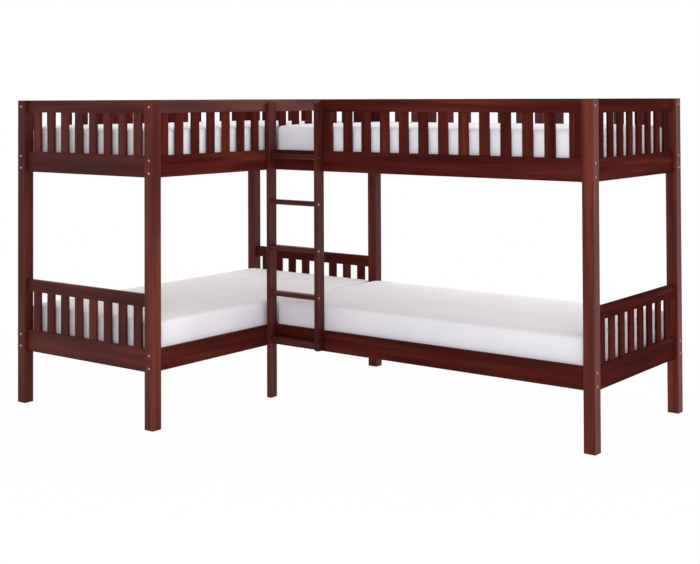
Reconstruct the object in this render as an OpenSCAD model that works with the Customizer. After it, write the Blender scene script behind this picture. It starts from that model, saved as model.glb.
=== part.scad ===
// L-shaped bunk bed for four: two bunks joined at one corner post, with a ladder in the inner corner.
// The left arm runs front to back (+Y), the right arm runs to the right (+X) along the back.
// Millimetres, +Z up. The origin is on the floor, under the middle of the whole footprint.

/* [Overall] */
// Length of each bunk over its posts
bunk_length = 2050; // [1990:1:2250]
// Width of each bunk over its posts
bunk_width = 1075; // [1000:1:1300]
// Height of the posts
post_height = 1700; // [1640:1:1900]
// Side of a square post
post_side = 62; // [55:1:75]

/* [Side rails] */
// Height of a side rail
rail_height = 114; // [105:1:130]
// Thickness of a side rail
rail_thick = 25; // [22:0.5:30]
// Set-back of the side rails from the posts' outer faces
rail_inset = 15; // [10:1:20]
// Underside of the lower side rails above the floor
lower_rail_z = 297; // [250:1:330]
// Underside of the upper side rails above the floor
upper_rail_z = 1298; // [1240:1:1330]
// Radius of the eased long edges of posts, rails and boards
edge_round = 3; // [1:0.5:5]

/* [End panels] */
// Set-back of the end panels from the posts' outer faces
panel_inset = 20; // [12:1:26]
// Thickness of the end boards and top rails
panel_thick = 22; // [20:0.5:26]
// Height of a top rail, on panels and guards alike
top_rail_height = 68; // [60:1:80]
// Top of the lower end panels above the floor
lower_panel_top = 694; // [640:1:760]
// Underside of the lower end boards above the floor
lower_board_z = 291; // [240:1:320]
// Height of a lower end board
lower_board_height = 120; // [100:1:140]
// Distance from slat to slat in an end panel
panel_pitch = 114; // [100:1:140]

/* [Slats of panels and guards] */
// Width of an upright slat
slat_width = 58; // [45:1:70]
// Thickness of an upright slat
slat_thick = 14; // [10:0.5:16]
// Depth of a slat's end in its mortise
slat_tenon = 12; // [8:1:16]
// Distance from slat to slat in a guard
guard_pitch = 123.5; // [110:0.5:140]
// Width of a guard's end stile
stile_width = 76; // [60:1:95]
// Least gap between an end slat and its neighbour
end_gap_least = 45; // [40:1:60]

/* [Mattress bases] */
// Width of a base slat
base_slat_width = 70; // [50:1:90]
// Thickness of a base slat
base_slat_thick = 18; // [14:1:22]
// Number of base slats in one bunk level
base_slats = 13; // [10:1:16]
// Clear room between an end base slat and the posts' line
base_slat_margin = 12; // [5:1:30]
// Side of the square cleats that carry the base slats
cleat_side = 20; // [18:1:24]
// Underside of a cleat above its rail's underside
cleat_rise = 28; // [26:1:34]

/* [Mattresses] */
// Height of a mattress at its seamed edges
mattress_edge = 186; // [120:1:200]
// How much higher a mattress is in its middle
mattress_crown = 8; // [4:1:25]
// Radius of a mattress's corners seen from above
mattress_corner = 24; // [20:1:60]
// Radius of a mattress's long edges
mattress_round = 20; // [12:1:30]
// How far a mattress's sides are drawn in at half height
mattress_draw = 4; // [1:0.5:10]
// Clear room between a mattress's end and the posts
mattress_post_gap = 0.5; // [0.5:0.5:40]
// Clear room between a mattress and a side rail
mattress_side_gap = 2.5; // [1:0.5:10]
// Clear room between the right arm's mattresses and the left arm's inner rail
mattress_corner_gap = 1; // [0.5:0.5:10]

/* [Ladder] */
// Thickness of a ladder side
ladder_side_thick = 23; // [20:1:28]
// Depth of a ladder side, front to back
ladder_side_depth = 64; // [54:1:70]
// Clear width between the ladder sides
ladder_clear = 321; // [280:1:400]
// Top of the ladder sides above the floor
ladder_top = 1685; // [1675:1:1890]
// Radius of the rounded feet of the ladder sides
ladder_foot_round = 10; // [4:1:14]
// Number of rungs
rungs = 5; // [4:1:5]
// Middle of the lowest rung above the floor
first_rung = 337; // [300:1:340]
// Height from rung to rung
rung_pitch = 260; // [240:1:261]
// Depth of a rung, front to back
rung_depth = 50; // [48:1:52]
// Thickness of a rung
rung_thick = 26; // [22:1:32]
// Set-back of a rung from the front of the ladder sides
rung_inset = 3; // [2:1:4]
// Distance from the lowest rung's middle to the shorter side's end
ladder_tail = 33; // [25:1:60]

/* [Fasteners] */
// Diameter of the bolts
bolt_d = 6; // [5:0.5:8]
// Diameter of a bolt's head
bolt_head_d = 12; // [10:0.5:15]
// Height of a bolt's head
bolt_head_h = 3; // [2:0.5:4]
// Width across the flats of a bolt's hexagon socket
bolt_socket = 4; // [3:0.5:5]
// Length of a rail bolt, with its head
rail_bolt_length = 100; // [96:1:110]
// Length of a rung bolt, with its head
rung_bolt_length = 58; // [54:1:66]
// Diameter of a barrel nut
nut_d = 10; // [9:0.5:12]
// Length of a barrel nut
nut_length = 12; // [10:0.5:14]
// Distance from a rail's or rung's end to its barrel nut's middle
nut_reach = 28; // [24:1:30]
// Distance between the two bolts in one rail's end
bolt_spacing = 66; // [50:1:70]
// How much lower the bolts sit in the lower rails than in the upper ones
lower_bolt_drop = 2; // [0:1:12]
// How far the left arm's bolts sit above the middle of its upper rails, below it when negative
left_bolt_shift = -1; // [-8:1:0]
// How far the right arm's bolts sit above the middle of its upper rails
right_bolt_shift = 3; // [0:1:4]
// Distance from a ladder side's front to its rung bolts
rung_bolt_inset = 14; // [13:1:16]
// Distance from a ladder side's front to its rung dowels
rung_dowel_inset = 40; // [36:1:44]
// Diameter of the wooden dowels
dowel_d = 8; // [6:1:10]
// Length of the wooden dowels
dowel_length = 40; // [30:1:44]
// Diameter of the wood screws
screw_d = 4; // [3.5:0.5:5]
// Diameter of a wood screw's head
screw_head_d = 8; // [7:0.5:9]
// Height of a wood screw's head
screw_head_h = 3; // [2:0.5:4]
// Length of a wood screw, with its head
screw_length = 35; // [32:1:36]
// How deep the screws that hold the ladder are sunk
screw_sink = 8; // [5:1:10]
// Length of a bracket screw, with its head
bracket_screw_length = 20; // [15:1:22]
// Thickness of a corner bracket
bracket_thick = 3; // [2:0.5:4]
// Height of a corner bracket
bracket_height = 24; // [20:1:26]
// Length of a corner bracket's short leg
bracket_short = 18; // [16:1:19]
// Length of a corner bracket's long leg
bracket_long = 50; // [40:1:80]

/* [Clearances] */
// Play round a bolt or a screw in its hole, on the radius
hole_play = 0.25; // [0.15:0.05:0.5]
// Play round a barrel nut, a dowel or a tenon, each side
fit_play = 0.15; // [0.1:0.05:0.3]
// Play round a bolt's thread in its nut, on the radius
thread_play = 0.05; // [0.02:0.01:0.1]
// Room under a mattress, and at a base slat's ends
soft_play = 0.3; // [0.2:0.1:1]

/* [Hidden] */

// One arm's own frame: x runs along the bunk from its near end, y runs across it, z is height.
total_x = bunk_width + bunk_length - post_side;
rail_start = post_side;
rail_end = bunk_length - post_side;
far_side = bunk_width - post_side;
rail_inner = rail_inset + rail_thick;
rail_middle = rail_inset + rail_thick / 2;
rail_y = [rail_inset, bunk_width - rail_inner];
// The right arm's front rails start at the outer face of the left arm's inner rail.
front_rail_start = post_side - rail_inset;
guard_rail_z = post_height - top_rail_height;
lower_top_rail_z = lower_panel_top - top_rail_height;
near_panel_x = panel_inset;
far_panel_x = bunk_length - panel_inset - panel_thick;
// The left arm's mattresses lie between its posts, the right arm's start at the left arm's inner rail.
left_mattress_start = post_side + mattress_post_gap;
right_mattress_start = front_rail_start + mattress_corner_gap;
mattress_length = bunk_length - 2 * left_mattress_start;
mattress_width = bunk_width - 2 * (rail_inner + mattress_side_gap);
// How far the corner post stands into the right arm's mattresses, along and across, with its clear
// room. It presses their corner there into the round that just clears the post's edge.
post_bite = [post_side - right_mattress_start, post_side - rail_inner - mattress_side_gap];
bite_room = [for (b = post_bite) max(0, b + mattress_post_gap)];
pressed_corner = max(
    mattress_corner, post_bite[0] + post_bite[1] + mattress_post_gap + sqrt(2 * bite_room[0] * bite_room[1])
);
cleat_ys = [rail_inner, bunk_width - rail_inner - cleat_side];
base_slat_z = cleat_rise + cleat_side;
base_top = base_slat_z + base_slat_thick;
base_slat_pitch = (rail_end - rail_start - 2 * base_slat_margin - base_slat_width) / (base_slats - 1);
first_base_slat = rail_start + base_slat_margin + base_slat_width / 2;
// Bolt heights of an arm: two in each lower rail, two in each upper rail, one in each guard's top rail.
function bolt_pair(middle) = [for (s = [-0.5, 0.5]) middle + s * bolt_spacing];
function lower_bolts(shift) = bolt_pair(lower_rail_z + rail_height / 2 - lower_bolt_drop + shift);
function upper_bolts(shift) = bolt_pair(upper_rail_z + rail_height / 2 + shift);
function guard_bolts(shift) = [guard_rail_z + top_rail_height / 2 + shift];
function bolt_levels(shift) = concat(lower_bolts(shift), upper_bolts(shift), guard_bolts(shift));
// The four horizontal pieces of an end panel, lower and upper: underside and height.
panel_pieces = [
    [lower_board_z, lower_board_height], [lower_top_rail_z, top_rail_height],
    [upper_rail_z, rail_height], [guard_rail_z, top_rail_height]
];
dowel_shares = [0.25, 0.8];
// The ladder stands before the right arm's front rails, its leg against the left arm's inner rail.
ladder_front = rail_inset - ladder_side_depth;
leg_x = front_rail_start;
side_x = leg_x + ladder_side_thick + ladder_clear;
rung_x = leg_x + ladder_side_thick;
rung_levels = [for (i = [0 : rungs - 1]) first_rung + i * rung_pitch];
rung_bolt_y = ladder_front + rung_bolt_inset;
rung_dowel_y = ladder_front + rung_dowel_inset;
// How much of a rung's dowel lies in the ladder side
rung_dowel_share = 14;
// Heights, above a rail's underside or a guard rail's, of the screws that hold the ladder
ladder_screws_rail = [60, 95];
ladder_screws_guard = [16, 38];
ladder_screw_levels = concat(
    [for (s = ladder_screws_rail) lower_rail_z + s],
    [for (s = ladder_screws_rail) upper_rail_z + s],
    [for (s = ladder_screws_guard) guard_rail_z + s]
);
// Corner brackets sit below the cleats on the rails.
bracket_levels = [
    lower_rail_z + (cleat_rise - bracket_height) / 2,
    upper_rail_z + (cleat_rise - bracket_height) / 2
];
bracket_short_screw = bracket_thick + (bracket_short - bracket_thick) / 2;
bracket_long_screws = [0.45, 0.8];
bracket_short_screws = [0.25, 0.75];
// Rounds, and how finely they are drawn
edge_fn = 24;
hole_fn = 32;
// A little more than nothing, so that a cut passes the face it starts from
past = 0.5;

// Colours
module stained_wood() color([0.29, 0.11, 0.09]) children();
module plain_wood() color([0.80, 0.62, 0.42]) children();
module zinc() color("silver") children();
module ticking() color([0.93, 0.92, 0.94]) children();

// Frames: the whole bed about its origin, and the two arms within it
module bed() translate([-total_x / 2, -bunk_length / 2, 0]) children();
module left_arm() bed() translate([bunk_width, 0, 0]) rotate([0, 0, 90]) children();
module right_arm() bed() translate([bunk_width - post_side, bunk_length - bunk_width, 0]) children();

// Directions: turn a piece that points up so that it points along the named way
module to_plus_x() rotate([0, 90, 0]) children();
module to_minus_x() rotate([0, -90, 0]) children();
module to_plus_y() rotate([-90, 0, 0]) children();
module to_minus_y() rotate([90, 0, 0]) children();

// A rectangle with eased corners, from exact squares and circles
module eased(w, h, r = edge_round) {
    translate([r, 0]) square([w - 2 * r, h]);
    translate([0, r]) square([w, h - 2 * r]);
    for (x = [r, w - r], y = [r, h - r]) translate([x, y]) circle(r = r, $fn = edge_fn);
}
module bar_x(l, w, h, r = edge_round) rotate([90, 0, 90]) linear_extrude(l) eased(w, h, r);
module bar_y(l, w, h, r = edge_round)
    translate([0, l, 0]) rotate([90, 0, 0]) linear_extrude(l) eased(w, h, r);
module bar_z(l, w, d, r = edge_round) linear_extrude(l) eased(w, d, r);

// Holes, each starting just outside the face at z = 0 and going up
module hole(d, depth, play)
    translate([0, 0, -past]) cylinder(r = d / 2 + play, h = depth + past, $fn = hole_fn);
module bolt_way(depth) {
    hole(bolt_head_d, bolt_head_h, hole_play);
    hole(bolt_d, depth, hole_play);
}
module screw_way(depth, sink = 0) {
    hole(screw_head_d, screw_head_h + sink, hole_play);
    hole(screw_d, depth, hole_play);
}
module dowel_way() translate([0, 0, -dowel_length / 2 - fit_play])
    cylinder(r = dowel_d / 2 + fit_play, h = dowel_length + 2 * fit_play, $fn = hole_fn);

// The fasteners themselves
module bolt(l) difference() {
    union() {
        cylinder(d = bolt_head_d, h = bolt_head_h, $fn = hole_fn);
        cylinder(d = bolt_d, h = l, $fn = hole_fn);
    }
    translate([0, 0, -past]) cylinder(d = bolt_socket / cos(30), h = past + bolt_head_h * 0.7, $fn = 6);
}
module wood_screw(l) {
    cylinder(d1 = screw_head_d, d2 = screw_d, h = screw_head_h, $fn = hole_fn);
    cylinder(d = screw_d, h = l - screw_d, $fn = hole_fn);
    translate([0, 0, l - screw_d]) cylinder(d1 = screw_d, d2 = screw_d * 0.2, h = screw_d, $fn = hole_fn);
}
module dowel() translate([0, 0, -dowel_length / 2]) cylinder(d = dowel_d, h = dowel_length, $fn = hole_fn);
// A barrel nut lies along z, with its threaded hole along x
module barrel_nut() difference() {
    translate([0, 0, -nut_length / 2]) cylinder(d = nut_d, h = nut_length, $fn = hole_fn);
    translate([-nut_d, 0, 0]) to_plus_x()
        cylinder(r = bolt_d / 2 + thread_play, h = 2 * nut_d, $fn = hole_fn);
}
module nut_way(depth) hole(nut_d, depth, fit_play);

// Upright slats: how many fit into a clear width, and where each one starts
function slat_count(clear, pitch) = floor((clear - slat_width - 2 * end_gap_least) / pitch) + 1;
function slat_starts(start, clear, pitch) =
    let (n = slat_count(clear, pitch), first = start + (clear - (n - 1) * pitch - slat_width) / 2)
    [for (i = [0 : n - 1]) first + i * pitch];
// Every upright of a guard as [start, width]: a stile, the slats, a stile
function guard_uprights(start, end) = concat(
    [[start, stile_width]],
    [for (s = slat_starts(start + stile_width, end - start - 2 * stile_width, guard_pitch)) [s, slat_width]],
    [[end - stile_width, stile_width]]
);
panel_uprights = [for (s = slat_starts(post_side, bunk_width - 2 * post_side, panel_pitch)) [s, slat_width]];
long_guard = guard_uprights(rail_start, rail_end);
short_guard = guard_uprights(side_x, rail_end);

// ---- Posts ----
// x_end: 0 for the near end, 1 for the far end. y_side: 0 or 1. Bolts enter from the end's outer face.
module post(x_end, y_side, shift) difference() {
    translate([x_end * rail_end, y_side * far_side, 0]) bar_z(post_height, post_side, post_side);
    for (z = bolt_levels(shift)) rail_bolt_place(x_end, y_side, z) bolt_way(post_side + past);
    for (p = panel_pieces, s = dowel_shares) panel_dowel_place(x_end, y_side, p[0] + s * p[1]) dowel_way();
}
module rail_bolt_place(x_end, y_side, z) {
    y = y_side == 0 ? rail_middle : bunk_width - rail_middle;
    if (x_end == 0) translate([0, y, z]) to_plus_x() children();
    else translate([bunk_length, y, z]) to_minus_x() children();
}
module panel_dowel_place(x_end, y_side, z)
    translate([
        x_end == 0 ? near_panel_x + panel_thick / 2 : far_panel_x + panel_thick / 2,
        y_side == 0 ? post_side : far_side, z
    ]) to_plus_y() children();
// Where the right arm's back rails meet the corner post: dowels below and above the post's own bolts
back_dowel_levels = [
    for (z = [lower_rail_z, upper_rail_z], s = [0.32, 0.52]) z + s * rail_height,
    for (s = dowel_shares) guard_rail_z + s * top_rail_height
];
module back_dowel_place(z) translate([rail_start, bunk_width - rail_middle, z]) to_plus_x() children();

module left_front_outer_post() stained_wood() left_arm() post(0, 1, left_bolt_shift);
module left_front_inner_post() stained_wood() left_arm() post(0, 0, left_bolt_shift);
module left_back_outer_post() stained_wood() left_arm() post(1, 1, left_bolt_shift);
module corner_post() stained_wood() difference() {
    left_arm() post(1, 0, left_bolt_shift);
    right_arm() {
        for (z = back_dowel_levels) back_dowel_place(z) dowel_way();
        for (z = bracket_levels) back_bracket_place(z) bracket_short_ways();
    }
}
module right_front_post() stained_wood() right_arm() post(1, 0, right_bolt_shift);
module right_back_post() stained_wood() right_arm() post(1, 1, right_bolt_shift);

// ---- Side rails ----
// A bar along x with bolt holes at its bolted ends, nut holes from its inner face, and cleat screws' holes
module side_rail(y_side, start, z, bolts, ends) difference() {
    translate([start, rail_y[y_side], z]) bar_x(rail_end - start, rail_thick, rail_height);
    rail_bores(y_side, bolts, ends);
    cleat_screw_places(y_side, z) hole(screw_d, screw_length, hole_play);
}
// The bores that a rail's or a guard rail's bolted ends need
module rail_bores(y_side, bolts, ends) for (e = ends, b = bolts) {
    rail_bolt_place(e, y_side, b) hole(bolt_d, rail_bolt_length + 1, hole_play);
    rail_nut_place(e, y_side, b)
        translate([0, 0, -rail_thick / 2]) nut_way((rail_thick + nut_length) / 2 + fit_play);
}
// The barrel nut's middle, with z pointing from the inner face outwards
module rail_nut_place(x_end, y_side, z) {
    x = x_end == 0 ? rail_start + nut_reach : rail_end - nut_reach;
    if (y_side == 0) translate([x, rail_middle, z]) to_minus_y() children();
    else translate([x, bunk_width - rail_middle, z]) to_plus_y() children();
}
// Screws that hold a cleat: they enter its inner face and point outwards
cleat_screw_xs = [for (i = [1 : 3 : base_slats - 2]) first_base_slat + (i + 0.5) * base_slat_pitch];
module cleat_screw_places(y_side, z) for (x = cleat_screw_xs)
    if (y_side == 0)
        translate([x, rail_inner + cleat_side, z + cleat_rise + cleat_side / 2]) to_minus_y() children();
    else
        translate([x, bunk_width - rail_inner - cleat_side, z + cleat_rise + cleat_side / 2])
            to_plus_y() children();
// Mortises for uprights in a piece along x, above (up = 1) or below (up = 0) the height z
module mortises_x(uprights, y_side, z, up) for (u = uprights)
    translate([
        u[0] - fit_play, rail_y[y_side] + (rail_thick - slat_thick) / 2 - fit_play,
        up == 1 ? z - past : z - slat_tenon - fit_play
    ]) cube([u[1] + 2 * fit_play, slat_thick + 2 * fit_play, slat_tenon + fit_play + past]);
module mortises_y(uprights, x, z, up) for (u = uprights)
    translate([
        x + (panel_thick - slat_thick) / 2 - fit_play, u[0] - fit_play,
        up == 1 ? z - past : z - slat_tenon - fit_play
    ]) cube([slat_thick + 2 * fit_play, u[1] + 2 * fit_play, slat_tenon + fit_play + past]);

module left_lower_rail(y_side) side_rail(
    y_side, rail_start, lower_rail_z, lower_bolts(left_bolt_shift), [0, 1]
);
module left_upper_rail(y_side) difference() {
    side_rail(y_side, rail_start, upper_rail_z, upper_bolts(left_bolt_shift), [0, 1]);
    mortises_x(long_guard, y_side, upper_rail_z + rail_height, 0);
}
// Screws through the left arm's inner rails into the ladder's leg, seen from the right arm's frame
module leg_side_place(z)
    translate([front_rail_start - rail_thick, ladder_front + ladder_side_depth / 2, z])
        to_plus_x() children();
// Screws through the right arm's front rails into the ladder's leg and side
module ladder_back_place(x, z) translate([x + ladder_side_thick / 2, rail_inner, z]) to_minus_y() children();

module left_outer_lower_rail() stained_wood() left_arm() left_lower_rail(1);
module left_inner_lower_rail() stained_wood() difference() {
    left_arm() left_lower_rail(0);
    right_arm() inner_rail_cuts(lower_rail_z, bracket_levels[0]);
}
module left_outer_upper_rail() stained_wood() left_arm() left_upper_rail(1);
module left_inner_upper_rail() stained_wood() difference() {
    left_arm() left_upper_rail(0);
    right_arm() inner_rail_cuts(upper_rail_z, bracket_levels[1]);
}
module inner_rail_cuts(z, bracket_z) {
    for (s = ladder_screws_rail) leg_side_place(z + s) screw_way(screw_length + screw_sink, screw_sink);
    front_bracket_place(bracket_z) bracket_short_ways();
}
module front_rail_cuts(z, bracket_z) {
    for (x = [leg_x, side_x], s = ladder_screws_rail)
        ladder_back_place(x, z + s) screw_way(screw_length + screw_sink, screw_sink);
    front_bracket_place(bracket_z) bracket_long_ways();
}
module right_front_lower_rail() stained_wood() right_arm() difference() {
    side_rail(0, front_rail_start, lower_rail_z, lower_bolts(right_bolt_shift), [1]);
    front_rail_cuts(lower_rail_z, bracket_levels[0]);
}
module right_front_upper_rail() stained_wood() right_arm() difference() {
    side_rail(0, front_rail_start, upper_rail_z, upper_bolts(right_bolt_shift), [1]);
    front_rail_cuts(upper_rail_z, bracket_levels[1]);
    mortises_x(short_guard, 0, upper_rail_z + rail_height, 0);
}
module right_back_lower_rail() stained_wood() right_arm() difference() {
    side_rail(1, rail_start, lower_rail_z, lower_bolts(right_bolt_shift), [1]);
    for (i = [0, 1]) back_dowel_place(back_dowel_levels[i]) dowel_way();
    back_bracket_place(bracket_levels[0]) bracket_long_ways();
}
module right_back_upper_rail() stained_wood() right_arm() difference() {
    side_rail(1, rail_start, upper_rail_z, upper_bolts(right_bolt_shift), [1]);
    mortises_x(long_guard, 1, upper_rail_z + rail_height, 0);
    for (i = [2, 3]) back_dowel_place(back_dowel_levels[i]) dowel_way();
    back_bracket_place(bracket_levels[1]) bracket_long_ways();
}

// ---- Cleats and base slats ----
module cleat(y_side, z) difference() {
    translate([rail_start, cleat_ys[y_side], z + cleat_rise])
        cube([rail_end - rail_start, cleat_side, cleat_side]);
    cleat_screw_places(y_side, z) screw_way(cleat_side + past);
    base_screw_places(y_side, z) hole(screw_d, screw_length + past, hole_play);
}
module arm_cleats() for (y_side = [0, 1], z = [lower_rail_z, upper_rail_z]) cleat(y_side, z);
// Screws that hold the base slats: they enter from above, over each cleat
module base_screw_places(y_side, z) for (i = [0 : base_slats - 1])
    translate([
        first_base_slat + i * base_slat_pitch, cleat_ys[y_side] + cleat_side / 2, z + base_top
    ]) rotate([180, 0, 0]) children();
module base_slat_row(z) difference() {
    for (i = [0 : base_slats - 1]) translate([
        first_base_slat + i * base_slat_pitch - base_slat_width / 2, rail_inner + soft_play, z + base_slat_z
    ]) cube([base_slat_width, bunk_width - 2 * (rail_inner + soft_play), base_slat_thick]);
    for (y_side = [0, 1]) base_screw_places(y_side, z) screw_way(base_slat_thick + past);
}
module left_arm_cleats() plain_wood() left_arm() arm_cleats();
module right_arm_cleats() plain_wood() right_arm() arm_cleats();
module left_lower_base_slats() plain_wood() left_arm() base_slat_row(lower_rail_z);
module left_upper_base_slats() plain_wood() left_arm() base_slat_row(upper_rail_z);
module right_lower_base_slats() plain_wood() right_arm() base_slat_row(lower_rail_z);
module right_upper_base_slats() plain_wood() right_arm() base_slat_row(upper_rail_z);

// ---- End panels ----
// A horizontal piece between two posts, with dowel holes in its ends and mortises above or below
module panel_piece(x_end, i, mortise_up) {
    x = x_end == 0 ? near_panel_x : far_panel_x;
    z = panel_pieces[i][0];
    h = panel_pieces[i][1];
    difference() {
        translate([x, post_side, z]) bar_y(bunk_width - 2 * post_side, panel_thick, h);
        for (y_side = [0, 1], s = dowel_shares) panel_dowel_place(x_end, y_side, z + s * h) dowel_way();
        mortises_y(panel_uprights, x, mortise_up == 1 ? z : z + h, mortise_up);
    }
}
// The slats between a board and the top rail above it
module panel_slats(x_end, board, rail) {
    x = (x_end == 0 ? near_panel_x : far_panel_x) + (panel_thick - slat_thick) / 2;
    bottom = panel_pieces[board][0] + panel_pieces[board][1] - slat_tenon;
    top = panel_pieces[rail][0] + slat_tenon;
    for (u = panel_uprights) translate([x, u[0], bottom]) bar_z(top - bottom, slat_thick, u[1], 2);
}
module left_front_lower_board() stained_wood() left_arm() panel_piece(0, 0, 0);
module left_front_lower_top_rail() stained_wood() left_arm() panel_piece(0, 1, 1);
module left_front_lower_slats() stained_wood() left_arm() panel_slats(0, 0, 1);
module left_front_upper_board() stained_wood() left_arm() panel_piece(0, 2, 0);
module left_front_upper_top_rail() stained_wood() left_arm() panel_piece(0, 3, 1);
module left_front_upper_slats() stained_wood() left_arm() panel_slats(0, 2, 3);
module left_back_lower_board() stained_wood() left_arm() panel_piece(1, 0, 0);
module left_back_lower_top_rail() stained_wood() left_arm() panel_piece(1, 1, 1);
module left_back_lower_slats() stained_wood() left_arm() panel_slats(1, 0, 1);
module left_back_upper_board() stained_wood() left_arm() panel_piece(1, 2, 0);
module left_back_upper_top_rail() stained_wood() left_arm() panel_piece(1, 3, 1);
module left_back_upper_slats() stained_wood() left_arm() panel_slats(1, 2, 3);
module right_end_lower_board() stained_wood() right_arm() panel_piece(1, 0, 0);
module right_end_lower_top_rail() stained_wood() right_arm() panel_piece(1, 1, 1);
module right_end_lower_slats() stained_wood() right_arm() panel_slats(1, 0, 1);
module right_end_upper_board() stained_wood() right_arm() panel_piece(1, 2, 0);
module right_end_upper_top_rail() stained_wood() right_arm() panel_piece(1, 3, 1);
module right_end_upper_slats() stained_wood() right_arm() panel_slats(1, 2, 3);

// ---- Guards of the upper bunks ----
module guard_rail(y_side, start, ends, uprights, shift) difference() {
    translate([start, rail_y[y_side], guard_rail_z]) bar_x(rail_end - start, rail_thick, top_rail_height);
    rail_bores(y_side, guard_bolts(shift), ends);
    mortises_x(uprights, y_side, guard_rail_z, 1);
}
module guard_slats(y_side, uprights) {
    bottom = upper_rail_z + rail_height - slat_tenon;
    top = guard_rail_z + slat_tenon;
    for (u = uprights) translate([u[0], rail_y[y_side] + (rail_thick - slat_thick) / 2, bottom])
        bar_z(top - bottom, u[1], slat_thick, 2);
}
module left_outer_guard_rail() stained_wood() left_arm()
    guard_rail(1, rail_start, [0, 1], long_guard, left_bolt_shift);
module left_outer_guard_slats() stained_wood() left_arm() guard_slats(1, long_guard);
module left_inner_guard_rail() stained_wood() difference() {
    left_arm() guard_rail(0, rail_start, [0, 1], long_guard, left_bolt_shift);
    right_arm() leg_side_place(guard_rail_z + ladder_screws_guard[0])
        screw_way(screw_length + screw_sink, screw_sink);
}
module left_inner_guard_slats() stained_wood() left_arm() guard_slats(0, long_guard);
module right_front_guard_rail() stained_wood() right_arm() difference() {
    guard_rail(0, side_x, [1], short_guard, right_bolt_shift);
    for (s = ladder_screws_guard)
        ladder_back_place(side_x, guard_rail_z + s) screw_way(screw_length + screw_sink, screw_sink);
}
module right_front_guard_slats() stained_wood() right_arm() guard_slats(0, short_guard);
module right_back_guard_rail() stained_wood() right_arm() difference() {
    guard_rail(1, rail_start, [1], long_guard, right_bolt_shift);
    for (i = [4, 5]) back_dowel_place(back_dowel_levels[i]) dowel_way();
}
module right_back_guard_slats() stained_wood() right_arm() guard_slats(1, long_guard);

// ---- Ladder ----
// A side from z up to the ladder's top, with rounded ends front and back
module ladder_upright(x, z) intersection() {
    translate([x, ladder_front, z]) bar_z(ladder_top - z, ladder_side_thick, ladder_side_depth, 2);
    translate([x - past, ladder_front, z])
        bar_x(ladder_side_thick + 2 * past, ladder_side_depth, ladder_top - z, ladder_foot_round);
}
// outer: 0 when the bolts enter from the side's left face, 1 when they enter from its right face
module rung_bolt_place(outer, z)
    if (outer == 0) translate([leg_x, rung_bolt_y, z]) to_plus_x() children();
    else translate([side_x + ladder_side_thick, rung_bolt_y, z]) to_minus_x() children();
module rung_nut_place(outer, z) translate([
    outer == 0 ? rung_x + nut_reach : side_x - nut_reach, rung_bolt_y, z
]) children();
module rung_dowel_place(outer, z) translate([
    outer == 0 ? rung_x + dowel_length / 2 - rung_dowel_share : side_x - dowel_length / 2 + rung_dowel_share,
    rung_dowel_y, z
]) to_plus_x() children();
module rung_fastener_ways(outer) for (z = rung_levels) {
    rung_bolt_place(outer, z) bolt_way(rung_bolt_length + past);
    rung_dowel_place(outer, z) dowel_way();
}
module ladder_leg() stained_wood() right_arm() difference() {
    ladder_upright(leg_x, 0);
    rung_fastener_ways(0);
    for (z = ladder_screw_levels) if (z < guard_rail_z) {
        leg_side_place(z) hole(screw_d, screw_length + screw_sink, hole_play);
        ladder_back_place(leg_x, z) hole(screw_d, screw_length + screw_sink, hole_play);
    }
    leg_side_place(guard_rail_z + ladder_screws_guard[0])
        hole(screw_d, screw_length + screw_sink, hole_play);
}
module ladder_side() stained_wood() right_arm() difference() {
    ladder_upright(side_x, first_rung - ladder_tail);
    rung_fastener_ways(1);
    for (z = ladder_screw_levels)
        ladder_back_place(side_x, z) hole(screw_d, screw_length + screw_sink, hole_play);
}
module ladder_rungs() stained_wood() right_arm() difference() {
    for (z = rung_levels) translate([rung_x, ladder_front + rung_inset, z - rung_thick / 2])
        bar_x(ladder_clear, rung_depth, rung_thick, 5);
    for (outer = [0, 1]) {
        rung_fastener_ways(outer);
        for (z = rung_levels) rung_nut_place(outer, z)
            translate([0, 0, -rung_thick / 2]) nut_way((rung_thick + nut_length) / 2 + fit_play);
    }
}

// ---- Fasteners ----
// Every bolted rail end of both arms, once with the bolts and once with the nuts
module rail_bolts() zinc() {
    left_arm() for (e = [0, 1]) arm_bolts(e, left_bolt_shift);
    right_arm() arm_bolts(1, right_bolt_shift);
}
module arm_bolts(x_end, shift) for (y_side = [0, 1], z = bolt_levels(shift))
    rail_bolt_place(x_end, y_side, z) bolt(rail_bolt_length);
module arm_nuts(x_end, shift) for (y_side = [0, 1], z = bolt_levels(shift))
    rail_nut_place(x_end, y_side, z) barrel_nut();
module rung_bolts() zinc() right_arm()
    for (outer = [0, 1], z = rung_levels) rung_bolt_place(outer, z) bolt(rung_bolt_length);
module barrel_nuts() zinc() {
    left_arm() for (e = [0, 1]) arm_nuts(e, left_bolt_shift);
    right_arm() {
        arm_nuts(1, right_bolt_shift);
        for (outer = [0, 1], z = rung_levels) rung_nut_place(outer, z) barrel_nut();
    }
}
module dowels() plain_wood() {
    left_arm() for (e = [0, 1]) panel_dowels(e);
    right_arm() {
        panel_dowels(1);
        for (z = back_dowel_levels) back_dowel_place(z) dowel();
        for (outer = [0, 1], z = rung_levels) rung_dowel_place(outer, z) dowel();
    }
}
module panel_dowels(x_end) for (y_side = [0, 1], p = panel_pieces, s = dowel_shares)
    panel_dowel_place(x_end, y_side, p[0] + s * p[1]) dowel();
module wood_screws() zinc() {
    left_arm() arm_screws();
    right_arm() {
        arm_screws();
        for (z = ladder_screw_levels) {
            ladder_back_place(side_x, z) sunk_screw();
            if (z < guard_rail_z) {
                ladder_back_place(leg_x, z) sunk_screw();
                leg_side_place(z) sunk_screw();
            }
        }
        leg_side_place(guard_rail_z + ladder_screws_guard[0]) sunk_screw();
    }
}
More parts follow.
